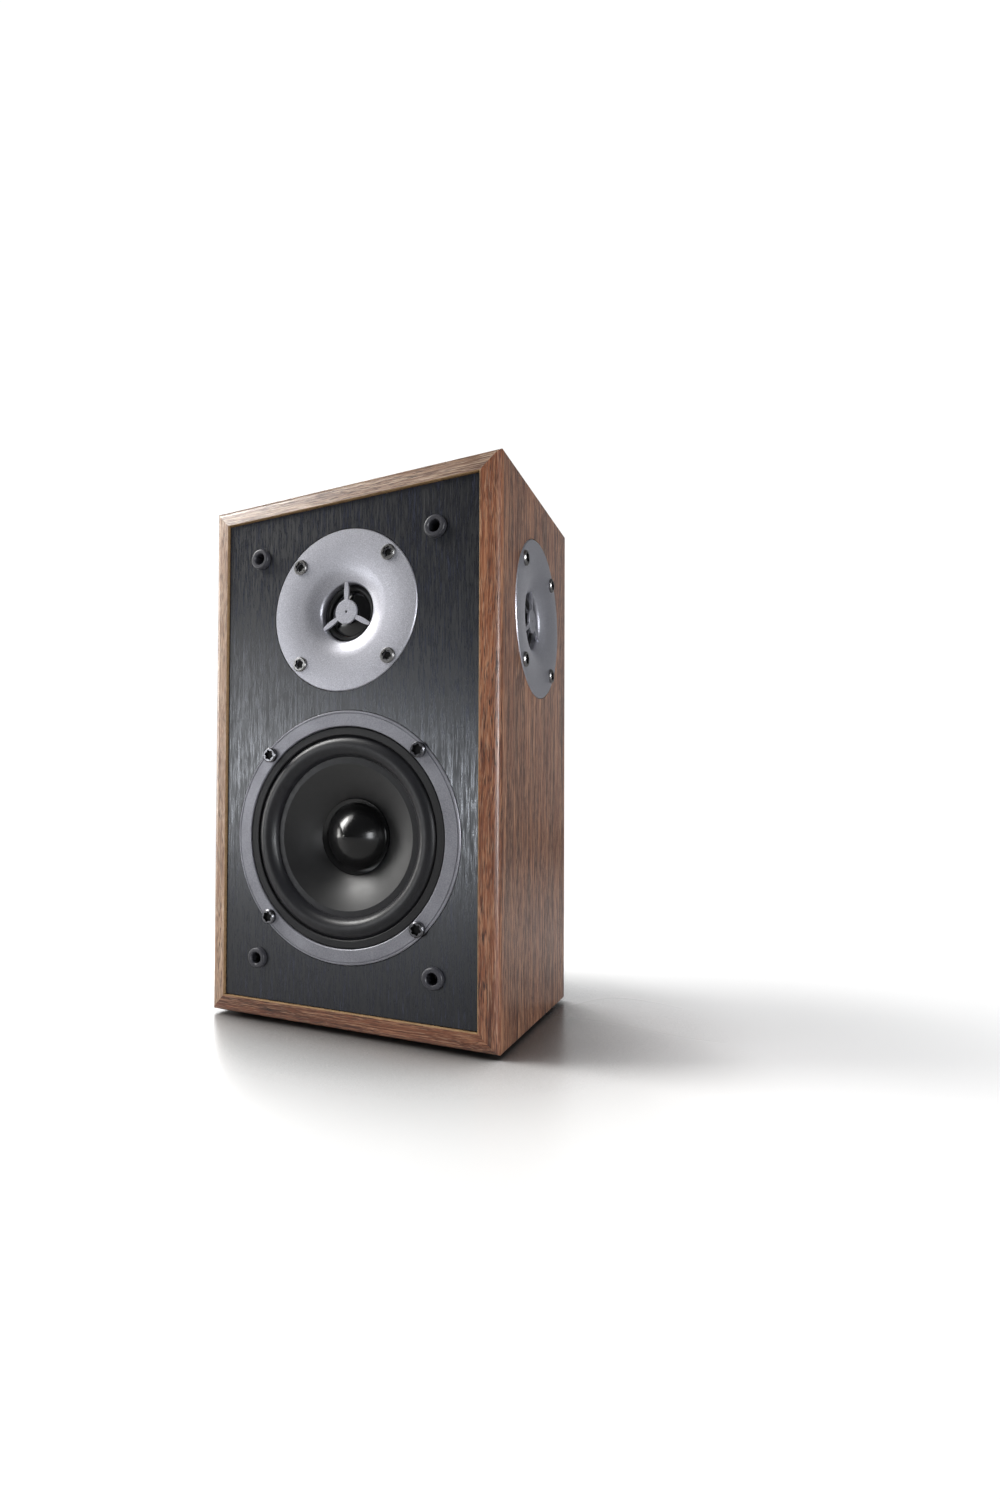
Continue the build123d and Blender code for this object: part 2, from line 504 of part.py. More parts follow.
def wire(points):
    vs = [Vector(*p) for p in points]
    radii = []
    for a, b, c in zip(vs, vs[1:], vs[2:]):
        run = min((b - a).length, (c - b).length)
        turn = (b - a).get_angle(c - b)
        radii.append(0.45 * run / math.tan(math.radians(turn) / 2))
    path = FilletPolyline(*vs, radius=radii) if len(radii) > 1 else FilletPolyline(*vs, radius=radii[0])
    start = Plane(origin=vs[0], z_dir=(vs[1] - vs[0]).normalized())
    body = sweep(start.location * Circle(WIRE_R), path=path)
    ratio = body.volume / (math.pi * WIRE_R ** 2 * path.length)
    print("wire length", round(path.length, 1), "volume over section x length", round(ratio, 4),
          "radii", [round(r, 1) for r in radii])
    return body


TWX = W / 2 + YK1
wires = [
    wire([(0, D + FLOOR_B, 54), (0, 104.5, 54), (0, 104.5, BT)]),
    wire([(0, 45.0, BT), (0, 45.0, 37), (4.5, 38.5, 48), (4.5, 38.5, 59.1)]),
    wire([(-51, 99, BT), (-51, 99, 60), (-64, 92, 112), (-62, 62, 165), (-36, 48, 205), (-12, 44, 222), (-12, RECESS - YK1, 222)]),
    wire([(-51, 80, BT), (-51, 80, 58), (-57, 84, 112), (-51, 80, 165), (-49, 73, 205), (-54, 71, 219), (-TWX, 71, 219)]),
    wire([(51, 80, BT), (51, 80, 58), (57, 84, 112), (51, 80, 165), (49, 73, 205), (54, 71, 219), (TWX, 71, 219)]),
]
keep("internal_wiring", *wires)

# --- write -----------------------------------------------------------------
for name, shapes in nodes.items():
    solids = []
    for s in shapes:
        solids += [SHIFT * x for x in s.solids()]
    out = solids[0] if len(solids) == 1 else Compound(children=solids)
    out.label = name
    export_step(out, os.path.join("parts", name + ".step"))
print(len(nodes), "nodes")
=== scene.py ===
import math

import bpy
import numpy as np
from mathutils import Matrix, Vector


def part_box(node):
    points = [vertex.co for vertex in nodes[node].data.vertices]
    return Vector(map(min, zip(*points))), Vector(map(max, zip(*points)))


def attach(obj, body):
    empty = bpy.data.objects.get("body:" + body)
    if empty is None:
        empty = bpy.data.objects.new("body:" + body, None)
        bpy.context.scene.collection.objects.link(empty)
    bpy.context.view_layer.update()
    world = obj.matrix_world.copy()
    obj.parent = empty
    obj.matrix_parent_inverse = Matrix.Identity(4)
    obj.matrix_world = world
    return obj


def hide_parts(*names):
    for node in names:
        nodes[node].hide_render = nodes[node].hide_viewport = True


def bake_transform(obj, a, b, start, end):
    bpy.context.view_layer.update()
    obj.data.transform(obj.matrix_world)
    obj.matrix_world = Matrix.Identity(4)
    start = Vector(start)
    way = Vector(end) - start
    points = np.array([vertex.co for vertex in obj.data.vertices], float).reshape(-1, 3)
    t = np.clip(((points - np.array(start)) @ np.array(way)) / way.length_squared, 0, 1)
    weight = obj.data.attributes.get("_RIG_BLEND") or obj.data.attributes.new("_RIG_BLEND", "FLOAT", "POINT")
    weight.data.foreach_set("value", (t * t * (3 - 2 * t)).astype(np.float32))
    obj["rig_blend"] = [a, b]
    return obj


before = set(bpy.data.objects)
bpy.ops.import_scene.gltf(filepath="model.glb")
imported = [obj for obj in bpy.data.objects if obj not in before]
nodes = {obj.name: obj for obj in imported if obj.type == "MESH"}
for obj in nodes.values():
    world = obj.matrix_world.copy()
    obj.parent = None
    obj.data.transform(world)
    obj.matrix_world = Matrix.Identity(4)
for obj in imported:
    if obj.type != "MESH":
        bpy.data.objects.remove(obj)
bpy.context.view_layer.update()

scene = bpy.context.scene
MM = 0.001


# ---------------------------------------------------------------------------
# camera at the photograph's viewing angle
# ---------------------------------------------------------------------------
yaw, pitch, roll = 0.4946, 0.0174, 0.0071
fwd = Vector((-math.sin(yaw) * math.cos(pitch), math.cos(yaw) * math.cos(pitch), math.sin(pitch)))
right = Vector((math.cos(yaw), math.sin(yaw), 0))
up = right.cross(fwd)
r2 = math.cos(roll) * right + math.sin(roll) * up
u2 = -math.sin(roll) * right + math.cos(roll) * up
cam_data = bpy.data.cameras.new("camera")
cam = bpy.data.objects.new("camera", cam_data)
scene.collection.objects.link(cam)
cam_data.sensor_width = 36
cam_data.lens = 735.43 * 36 / 1500
cam_data.shift_x = (500 - 362.13) / 1500
cam_data.shift_y = (800.47 - 750) / 1500
cam_data.clip_start = 0.005
cam_data.dof.use_dof = False
m = Matrix.Identity(4)
for i in range(3):
    m[i][0], m[i][1], m[i][2] = r2[i], u2[i], -fwd[i]
m.translation = Vector((0.20041, -0.41494, 0.12031))
cam.matrix_world = m
scene.camera = cam
scene.view_settings.view_transform = "Standard"
scene.view_settings.look = "None"


# ---------------------------------------------------------------------------
# node helpers
# ---------------------------------------------------------------------------
def srgb(r, g, b):
    """Linear RGBA of 8-bit display values."""
    out = []
    for c in (r, g, b):
        c /= 255
        out.append(c / 12.92 if c <= 0.04045 else ((c + 0.055) / 1.055) ** 2.4)
    return (*out, 1.0)


class Mat:
    """A small builder round one material's node tree."""

    def __init__(self, name, **bsdf):
        self.m = bpy.data.materials.new(name)
        self.m.use_nodes = True
        self.t = self.m.node_tree
        self.t.nodes.clear()
        self.out = self.t.nodes.new("ShaderNodeOutputMaterial")
        self.b = self.t.nodes.new("ShaderNodeBsdfPrincipled")
        self.t.links.new(self.b.outputs[0], self.out.inputs["Surface"])
        self.coord = self.t.nodes.new("ShaderNodeTexCoord").outputs["Object"]
        for k, v in bsdf.items():
            self.b.inputs[k.replace("_", " ")].default_value = v

    def put(self, socket, v):
        if isinstance(v, bpy.types.NodeSocket):
            self.t.links.new(v, socket)
        else:
            socket.default_value = v

    def scaled(self, s, loc=(0, 0, 0), vec=None):
        n = self.t.nodes.new("ShaderNodeMapping")
        self.put(n.inputs["Vector"], vec or self.coord)
        n.inputs["Scale"].default_value = s
        n.inputs["Location"].default_value = loc
        return n.outputs[0]

    def noise(self, s, detail=3, rough=0.5, dist=0.0, loc=(0, 0, 0), vec=None):
        n = self.t.nodes.new("ShaderNodeTexNoise")
        self.put(n.inputs["Vector"], self.scaled(s, loc, vec))
        n.inputs["Scale"].default_value = 1
        n.inputs["Detail"].default_value = detail
        n.inputs["Roughness"].default_value = rough
        n.inputs["Distortion"].default_value = dist
        return n.outputs["Fac"]

    def voronoi(self, s, rand=1.0, feature="F1", vec=None, out="Distance"):
        n = self.t.nodes.new("ShaderNodeTexVoronoi")
        n.feature = feature
        self.put(n.inputs["Vector"], self.scaled(s, vec=vec))
        n.inputs["Scale"].default_value = 1
        n.inputs["Randomness"].default_value = rand
        return n.outputs[out]

    def math(self, op, a, b=0.0, c=None, clamp=False):
        n = self.t.nodes.new("ShaderNodeMath")
        n.operation = op
        n.use_clamp = clamp
        self.put(n.inputs[0], a)
        self.put(n.inputs[1], b)
        if c is not None:
            self.put(n.inputs[2], c)
        return n.outputs[0]

    def ramp(self, fac, stops, interp="LINEAR"):
        n = self.t.nodes.new("ShaderNodeValToRGB")
        n.color_ramp.interpolation = interp
        e = n.color_ramp.elements
        while len(e) < len(stops):
            e.new(0.5)
        for el, (p, c) in zip(e, stops):
            el.position = p
            el.color = c if isinstance(c, tuple) else (c, c, c, 1)
        self.put(n.inputs[0], fac)
        return n.outputs[0]

    def mix(self, fac, a, b, kind="MIX"):
        n = self.t.nodes.new("ShaderNodeMix")
        n.data_type = "RGBA"
        n.blend_type = kind
        self.put(n.inputs[0], fac)
        self.put(n.inputs[6], a)
        self.put(n.inputs[7], b)
        return n.outputs[2]

    def span(self, v, a, b, c, d, clamp=True):
        n = self.t.nodes.new("ShaderNodeMapRange")
        n.clamp = clamp
        self.put(n.inputs["Value"], v)
        for k, x in (("From Min", a), ("From Max", b), ("To Min", c), ("To Max", d)):
            n.inputs[k].default_value = x
        return n.outputs[0]

    def xyz(self, vec=None):
        n = self.t.nodes.new("ShaderNodeSeparateXYZ")
        self.put(n.inputs[0], vec or self.coord)
        return n.outputs

    def vec(self, x, y, z):
        n = self.t.nodes.new("ShaderNodeCombineXYZ")
        for s, v in zip(n.inputs, (x, y, z)):
            self.put(s, v)
        return n.outputs[0]

    def bump(self, height, strength, distance, normal=None):
        n = self.t.nodes.new("ShaderNodeBump")
        n.inputs["Strength"].default_value = strength
        n.inputs["Distance"].default_value = distance
        self.put(n.inputs["Height"], height)
        if normal is not None:
            self.put(n.inputs["Normal"], normal)
        return n.outputs[0]

    def colour(self, v):
        self.put(self.b.inputs["Base Color"], v)
        return self

    def rough(self, v):
        self.put(self.b.inputs["Roughness"], v)
        return self

    def normal(self, v):
        self.put(self.b.inputs["Normal"], v)
        return self


# ---------------------------------------------------------------------------
# materials
# ---------------------------------------------------------------------------
def walnut(name, along, shift, tones, bold=0.0):
    """Open-pored walnut veneer under a thin satin lacquer; the grain runs along X or Z."""
    k = Mat(name, Specular_IOR_Level=0.5, Coat_Weight=0.75, Coat_Roughness=0.26, IOR=1.5)

    def s(across, length):
        return (length, across, across) if along == "X" else (across, across, length)

    loc = (shift, shift * 1.7, shift * 0.6)
    # the grain wanders slowly sideways
    w1 = k.math("MULTIPLY", k.math("SUBTRACT", k.noise(s(16, 5), 2, loc=loc), 0.5), 0.014)
    w2 = k.math("MULTIPLY", k.math("SUBTRACT", k.noise(s(110, 26), 2, loc=loc), 0.5), 0.0016)
    w = k.math("ADD", w1, w2)
    x, y, z = k.xyz()
    if along == "X":
        v = k.vec(x, k.math("ADD", y, w), k.math("ADD", z, w))
    else:
        v = k.vec(k.math("ADD", x, w), k.math("ADD", y, w), z)
    broad = k.noise(s(62, 3.2), 3, 0.55, 0.3, loc, v)
    band = k.noise(s(240, 6.5), 4, 0.6, 0.2, loc, v)
    fibre = k.noise(s(1500, 34), 4, 0.68, 0, loc, v)
    fine = k.noise(s(3200, 110), 2, 0.6, 0, loc, v)
    tone = k.math("ADD", k.math("MULTIPLY", broad, 0.42), k.math("MULTIPLY", band, 0.32))
    tone = k.math("ADD", tone, k.math("MULTIPLY", fibre, 0.26))
    if bold:
        streak = k.noise(s(430, 13), 4, 0.7, 0.1, loc, v)
        tone = k.math("ADD", k.math("MULTIPLY", tone, 1 - bold), k.math("MULTIPLY", streak, bold))
    base = k.ramp(tone, list(zip((0.38, 0.45, 0.51, 0.57, 0.65), tones[:5])))
    if bold:
        base = k.mix(k.span(streak, 0.52, 0.62, 0, 0.85), base, tones[5])
        base = k.mix(k.span(streak, 0.48, 0.38, 0, 0.90), base, tones[0])
    # fine fibres, light and dark
    base = k.mix(k.span(fibre, 0.50, 0.62, 0, 0.75), base, tones[5])
    base = k.mix(k.span(fine, 0.48, 0.34, 0, 0.80), base, tones[6])
    # open pores: short dark dashes, thicker in some bands
    dash = k.noise(s(2100, 120), 2, 0.5, 0.10, loc, v)
    where = k.span(k.noise(s(150, 9), 2, loc=loc, vec=v), 0.38, 0.62, 0.35, 1.0)
    pore = k.math("MULTIPLY", k.span(dash, 0.55, 0.63, 0, 1), where)
    base = k.mix(k.math("MULTIPLY", pore, 0.88), base, tones[7])
    # pale flecks where the figure catches light
    fleck = k.span(k.noise(s(1700, 90), 2, 0.5, 0.2, (shift + 9, 3, 5), v), 0.57, 0.68, 0, 0.60)
    base = k.mix(fleck, base, tones[8])
    k.colour(base)
    k.rough(k.math("ADD", k.span(fibre, 0.3, 0.7, 0.52, 0.36), k.math("MULTIPLY", pore, 0.22)))
    h = k.math("SUBTRACT", k.math("MULTIPLY", fibre, 0.35), pore)
    k.normal(k.bump(h, 0.7, 0.00016))
    return k.m


def baffle_mat():
    """Charcoal board with fine vertical brushing."""
    k = Mat("charcoal_brushed", Specular_IOR_Level=0.5, IOR=1.5)
    streak = k.noise((1700, 1700, 95), 3, 0.65)
    long = k.noise((520, 520, 12), 3, 0.6)
    fine = k.noise((3800, 3800, 150), 2, 0.5)
    mixv = k.math("ADD", k.math("MULTIPLY", streak, 0.55), k.math("MULTIPLY", long, 0.25))
    mixv = k.math("ADD", mixv, k.math("MULTIPLY", fine, 0.20))
    base = k.ramp(mixv, [(0.41, srgb(4, 4, 8)), (0.47, srgb(8, 8, 13)), (0.53, srgb(18, 19, 25)), (0.60, srgb(54, 56, 66))])
    k.colour(base)
    k.rough(k.span(mixv, 0.42, 0.58, 0.46, 0.18))
    k.normal(k.bump(k.math("ADD", k.math("MULTIPLY", streak, 0.7), k.math("MULTIPLY", fine, 0.5)), 0.45, 0.00010))
    return k.m


def board_mat(name, c0, c1):
    """Raw or stained fibreboard."""
    k = Mat(name, Specular_IOR_Level=0.25)
    n = k.noise((420, 420, 420), 6, 0.65)
    g = k.noise((3200, 3200, 3200), 3, 0.6)
    v = k.math("ADD", k.math("MULTIPLY", n, 0.6), k.math("MULTIPLY", g, 0.4))
    k.colour(k.ramp(v, [(0.36, c0), (0.64, c1)]))
    k.rough(k.span(g, 0.3, 0.7, 0.75, 0.92))
    k.normal(k.bump(g, 0.5, 0.00015))
    return k.m


def paint(name, c0, c1, rough0, rough1, metallic=0.0, grain=2600, spec=0.5, bump=0.25, depth=0.00003, coat=0.0,
          coat_rough=0.2, broad=60):
    """Moulded or painted surface with a fine grain and a slow drift in tone."""
    k = Mat(name, Metallic=metallic, Specular_IOR_Level=spec, Coat_Weight=coat, Coat_Roughness=coat_rough)
    g = k.noise((grain, grain, grain), 3, 0.6)
    s = k.noise((broad, broad, broad), 2, 0.5)
    v = k.math("ADD", k.math("MULTIPLY", g, 0.7), k.math("MULTIPLY", s, 0.3))
    k.colour(k.ramp(v, [(0.36, c0), (0.64, c1)]))
    k.rough(k.span(v, 0.36, 0.64, rough0, rough1))
    k.normal(k.bump(g, bump, depth))
    return k.m


def turned(name, c0, c1, rough0, rough1, centre, axis, metallic=1.0, scale=2400, spec=0.5):
    """Metal with fine turning marks round an axis through centre."""
    k = Mat(name, Metallic=metallic, Specular_IOR_Level=spec)
    x, y, z = k.xyz()
    c = centre
    parts = {"X": (k.math("SUBTRACT", y, c[1]), k.math("SUBTRACT", z, c[2]), x),
             "Y": (k.math("SUBTRACT", x, c[0]), k.math("SUBTRACT", z, c[2]), y),
             "Z": (k.math("SUBTRACT", x, c[0]), k.math("SUBTRACT", y, c[1]), z)}[axis]
    rad = k.math("SQRT", k.math("ADD", k.math("MULTIPLY", parts[0], parts[0]), k.math("MULTIPLY", parts[1], parts[1])))
    v = k.vec(rad, parts[2], 0.0)
    g = k.noise((scale, scale, 1), 3, 0.6, vec=v)
    d = k.noise((900, 900, 900), 3, 0.6)
    k.colour(k.ramp(k.math("ADD", k.math("MULTIPLY", g, 0.6), k.math("MULTIPLY", d, 0.4)), [(0.36, c0), (0.64, c1)]))
    k.rough(k.span(g, 0.3, 0.7, rough0, rough1))
    k.normal(k.bump(g, 0.3, 0.00002))
    return k.m


def plate_mat(name):
    """Satin silver paint with a fine metallic sparkle."""
    k = Mat(name, Metallic=0.72, Specular_IOR_Level=0.5, Coat_Weight=0.08, Coat_Roughness=0.3)
    g = k.noise((2300, 2300, 2300), 2, 0.6)
    f = k.voronoi((3000, 3000, 3000), out="Distance")
    v = k.math("ADD", k.math("MULTIPLY", g, 0.7), k.math("MULTIPLY", f, 0.4))
    k.colour(k.ramp(v, [(0.38, srgb(158, 158, 166)), (0.56, srgb(188, 188, 196)), (0.78, srgb(216, 216, 223))]))
    k.rough(k.span(v, 0.38, 0.75, 0.46, 0.36))
    k.normal(k.bump(v, 0.35, 0.00005))
    return k.m


def cone_mat():
    """Pressed, damped paper or polymer cone with a satin sheen."""
    k = Mat("cone_grey", Specular_IOR_Level=0.85, IOR=1.5)
    g = k.noise((1900, 1900, 1900), 4, 0.65)
    s = k.noise((150, 150, 150), 3, 0.6)
    v = k.math("ADD", k.math("MULTIPLY", g, 0.6), k.math("MULTIPLY", s, 0.4))
    k.colour(k.ramp(v, [(0.38, srgb(6, 6, 8)), (0.62, srgb(14, 14, 16))]))
    k.rough(k.span(v, 0.38, 0.62, 0.46, 0.38))
    k.normal(k.bump(g, 0.35, 0.00005))
    return k.m


def rubber_mat(name, c0, c1, rough0=0.48, rough1=0.36):
    k = Mat(name, Specular_IOR_Level=0.5, Sheen_Weight=0.04, Sheen_Roughness=0.5)
    g = k.noise((3200, 3200, 3200), 3, 0.6)
    s = k.noise((220, 220, 220), 3, 0.6)
    v = k.math("ADD", k.math("MULTIPLY", g, 0.5), k.math("MULTIPLY", s, 0.5))
    k.colour(k.ramp(v, [(0.36, c0), (0.64, c1)]))
    k.rough(k.span(v, 0.36, 0.64, rough0, rough1))
    k.normal(k.bump(g, 0.2, 0.00003))
    return k.m


def cloth_mat(name, c0, c1, pitch, centre):
    """Woven cloth set in resin."""
    k = Mat(name, Specular_IOR_Level=0.3, Sheen_Weight=0.15, Sheen_Roughness=0.5)
    x, y, z = k.xyz()
    f = 2 * math.pi / pitch
    a = k.math("SINE", k.math("MULTIPLY", x, f))
    b = k.math("SINE", k.math("MULTIPLY", z, f))
    v = k.math("ADD", k.math("MULTIPLY", k.math("MULTIPLY", a, b), 0.25), k.math("MULTIPLY", k.noise((500, 500, 500), 3), 0.9))
    k.colour(k.ramp(v, [(0.25, c0), (0.70, c1)]))
    k.rough(k.span(v, 0.2, 0.7, 0.9, 0.7))
    k.normal(k.bump(v, 0.5, 0.0001))
    return k.m


def wadding_mat():
    k = Mat("polyester_wadding", Specular_IOR_Level=0.2, Sheen_Weight=0.5, Sheen_Roughness=0.6)
    g = k.noise((700, 700, 700), 6, 0.7, 0.8)
    s = k.noise((70, 70, 70), 4, 0.6, 0.5)
    v = k.math("ADD", k.math("MULTIPLY", g, 0.6), k.math("MULTIPLY", s, 0.4))
    k.colour(k.ramp(v, [(0.3, srgb(176, 176, 172)), (0.7, srgb(238, 238, 234))]))
    k.rough(k.span(v, 0.3, 0.7, 0.98, 0.85))
    k.normal(k.bump(v, 0.8, 0.0008))
    return k.m


def winding_mat(name, centre, axis, along, pitch, c0, c1):
    """Enamelled copper wire wound round an axis."""
    k = Mat(name, Metallic=0.9, Specular_IOR_Level=0.5, Coat_Weight=0.5, Coat_Roughness=0.15)
    x, y, z = k.xyz()
    t = {"X": x, "Y": y, "Z": z}[along]
    w = k.math("SINE", k.math("MULTIPLY", t, 2 * math.pi / pitch))
    n = k.noise((600, 600, 600), 3, 0.6)
    v = k.math("ADD", k.math("MULTIPLY", w, 0.18), n)
    k.colour(k.ramp(v, [(0.3, c0), (0.75, c1)]))
    k.rough(k.span(v, 0.3, 0.7, 0.42, 0.26))
    k.normal(k.bump(w, 0.8, 0.00012))
    return k.m


K = {}
RED_BROWN = [srgb(*c) for c in ((64, 33, 21), (98, 54, 35), (134, 79, 53), (162, 101, 70), (188, 128, 93),
                                (200, 146, 110), (56, 27, 18), (34, 16, 10), (206, 160, 128))]
# painted light: a paler, less saturated copy of the walnut tones, standing in for the key light and its sheen falling
# from the upper left
PAINTED_LIGHT_TAN = [srgb(*c) for c in ((96, 64, 45), (130, 94, 70), (158, 120, 92), (180, 143, 114), (198, 166, 138),
                          (206, 178, 152), (88, 56, 39), (60, 36, 25), (214, 190, 166))]
# the top and left panels' frame faces take the painted-light tan; the bottom and right ones keep the darker red-brown
# walnut
for side, axis, sh, tones in (("top_panel", "X", 0.0, PAINTED_LIGHT_TAN), ("bottom_panel", "X", 3.1, RED_BROWN),
                              ("left_panel", "Z", 5.3, PAINTED_LIGHT_TAN), ("right_panel", "Z", 8.7, RED_BROWN)):
    K[side] = walnut("walnut_" + side, axis, sh, tones)
    K[side + "_outer"] = walnut("walnut_outer_" + side, axis, sh, RED_BROWN, bold=0.35)
K["baffle"] = baffle_mat()
K["mdf"] = board_mat("raw_fibreboard", srgb(138, 108, 76), srgb(178, 146, 108))
K["mdf_black"] = board_mat("stained_board_edge", srgb(24, 22, 22), srgb(44, 41, 40))
K["back"] = paint("black_vinyl_back", srgb(30, 30, 32), srgb(48, 48, 51), 0.60, 0.46, grain=900, bump=0.6, depth=0.0001)
K["foot"] = rubber_mat("black_rubber", srgb(20, 20, 20), srgb(34, 34, 34), 0.85, 0.70)
K["socket"] = paint("socket_nylon", srgb(54, 54, 59), srgb(76, 76, 82), 0.42, 0.30)
K["port"] = paint("port_plastic", srgb(20, 20, 22), srgb(34, 34, 36), 0.46, 0.36)
K["steel_black"] = paint("black_powder_steel", srgb(20, 20, 21), srgb(34, 34, 36), 0.55, 0.42, metallic=0.3, grain=1500)
K["foam"] = paint("black_foam", srgb(24, 24, 24), srgb(46, 46, 46), 0.95, 0.85, grain=1300, bump=0.9, depth=0.0003, spec=0.2)
K["trim"] = paint("silver_grey_trim", srgb(124, 124, 131), srgb(160, 160, 168), 0.50, 0.40, metallic=0.38, grain=2400, coat=0.05)
K["clamp"] = paint("dark_grey_clamp", srgb(20, 20, 22), srgb(31, 31, 34), 0.56, 0.46, grain=1800)
K["surround"] = rubber_mat("surround_rubber", srgb(22, 22, 25), srgb(36, 36, 40), 0.42, 0.30)
K["t_surround"] = rubber_mat("tweeter_surround_cloth", srgb(10, 10, 11), srgb(18, 18, 20), 0.5, 0.4)
K["cone"] = cone_mat()
K["gloss"] = paint("gloss_black_cap", srgb(9, 9, 10), srgb(14, 14, 15), 0.24, 0.17, grain=500, bump=0.05, depth=0.00002, spec=0.6,
                   coat=0.35, coat_rough=0.12)
K["former"] = turned("former_aluminium", srgb(150, 150, 152), srgb(190, 190, 192), 0.38, 0.28, (0, 0, 0.1071), "Y")
K["w_coil"] = winding_mat("woofer_copper", (0, 0, 0.1071), "Y", "Y", 0.0004, srgb(120, 56, 30), srgb(206, 118, 70))
K["t_coil"] = winding_mat("tweeter_copper", (0, 0, 0.2316), "Y", "Y", 0.0003, srgb(120, 56, 30), srgb(206, 118, 70))
K["spider"] = cloth_mat("spider_cloth", srgb(150, 104, 48), srgb(206, 160, 92), 0.0007, (0, 0, 0))
K["zinc"] = turned("zinc_steel", srgb(150, 150, 146), srgb(196, 196, 190), 0.36, 0.24, (0, 0, 0.1071), "Y")
K["t_zinc"] = paint("tweeter_zinc_steel", srgb(150, 150, 146), srgb(196, 196, 190), 0.36, 0.24, metallic=1.0, grain=1200)
K["ferrite"] = paint("ferrite", srgb(34, 33, 34), srgb(58, 56, 57), 0.62, 0.45, grain=1100, bump=0.6, depth=0.0001)
K["tags"] = paint("tag_strip", srgb(70, 52, 30), srgb(120, 96, 60), 0.6, 0.45, grain=900)
K["brass"] = paint("nickel_brass", srgb(176, 150, 96), srgb(214, 188, 132), 0.32, 0.20, metallic=1.0, grain=1500)
K["w_screw"] = paint("woofer_screw_chrome", srgb(92, 92, 96), srgb(146, 146, 150), 0.32, 0.20, metallic=1.0, grain=1500, bump=0.1)
K["t_screw"] = paint("tweeter_screw_chrome", srgb(120, 119, 118), srgb(172, 171, 170), 0.36, 0.24, metallic=1.0, grain=1500, bump=0.1)
K["b_screw"] = paint("black_screw", srgb(22, 22, 23), srgb(44, 44, 46), 0.42, 0.28, metallic=0.6, grain=1400)
# painted shade: the screws' drive recesses get a near-black, dull copy in place of the shadow inside them
K["recess"] = paint("drive_recess_painted_shade", srgb(5, 5, 6), srgb(11, 11, 12), 0.62, 0.48, grain=1500, spec=0.3)
K["plate"] = plate_mat("satin_silver_plate")
K["dome"] = paint("gloss_black_dome", srgb(7, 7, 8), srgb(13, 13, 14), 0.20, 0.12, grain=900, bump=0.08, spec=0.6, coat=0.5, coat_rough=0.08)
K["cup"] = paint("cup_plastic", srgb(18, 18, 20), srgb(32, 32, 34), 0.52, 0.40, grain=1500, bump=0.4, depth=0.00006)
K["red"] = paint("red_knob", srgb(150, 14, 14), srgb(184, 24, 22), 0.34, 0.24, grain=1500, coat=0.2)
K["black"] = paint("black_knob", srgb(14, 14, 15), srgb(26, 26, 28), 0.34, 0.24, grain=1500, coat=0.2)
K["pcb"] = paint("circuit_board", srgb(92, 68, 34), srgb(128, 96, 52), 0.5, 0.38, grain=700, bump=0.3)
K["capfilm"] = paint("capacitor_film", srgb(28, 40, 92), srgb(48, 64, 124), 0.34, 0.26, grain=700)
K["cement"] = paint("cement", srgb(200, 198, 190), srgb(228, 226, 218), 0.9, 0.8, grain=900, bump=0.6, depth=0.0001)
K["x_coil"] = winding_mat("crossover_copper", (0, 0, 0), "Z", "Z", 0.0009, srgb(130, 62, 32), srgb(214, 126, 76))
K["standoff"] = paint("white_nylon", srgb(206, 206, 200), srgb(230, 230, 224), 0.5, 0.4, grain=900)


# ---------------------------------------------------------------------------
# CAD nodes: smooth shading by angle, and their materials
# ---------------------------------------------------------------------------
def dress(name, *mats, pick=None, angle=28):
    """Give a node its materials. pick maps (face normals, face centres) to a material index for each face."""
    me = nodes[name].data
    me.materials.clear()
    for x in mats:
        me.materials.append(x)
    me.polygons.foreach_set("use_smooth", np.ones(len(me.polygons), bool))
    me.set_sharp_from_angle(angle=math.radians(angle))
    if pick is not None:
        n = np.zeros(len(me.polygons) * 3)
        c = np.zeros(len(me.polygons) * 3)
        me.polygons.foreach_get("normal", n)
        me.polygons.foreach_get("center", c)
        idx = pick(n.reshape(-1, 3), c.reshape(-1, 3)).astype(np.int32)
        me.polygons.foreach_set("material_index", idx)
    me.update()


W, D, H, T, FOOT = 0.1784, 0.1374, 0.300, 0.015, 0.002
Y0 = -0.068665            # frame plane
YB = Y0 + D               # back plane
FACE = Y0 + 0.0018        # baffle face


def case_pick(inward):
    """0 veneer outside, 1 raw board inside, 2 stained back edge."""
    inward = np.array(inward, float)

    def pick(n, c):
        out = np.zeros(len(n), int)
        out[(n @ inward) > 0.5] = 1
        bore = (np.abs(c[:, 1] - 0.002335) < 0.0449) & (np.abs(c[:, 2] - 0.2316) < 0.0449) & (np.abs(n @ inward) < 0.9) \
            & (np.abs(inward[0]) > 0.5)
        out[bore] = 1
        out[(n[:, 1] > 0.5) & (c[:, 1] > YB - 0.001)] = 2
        out[(n @ inward) < -0.9] = 3
        return out
    return pick


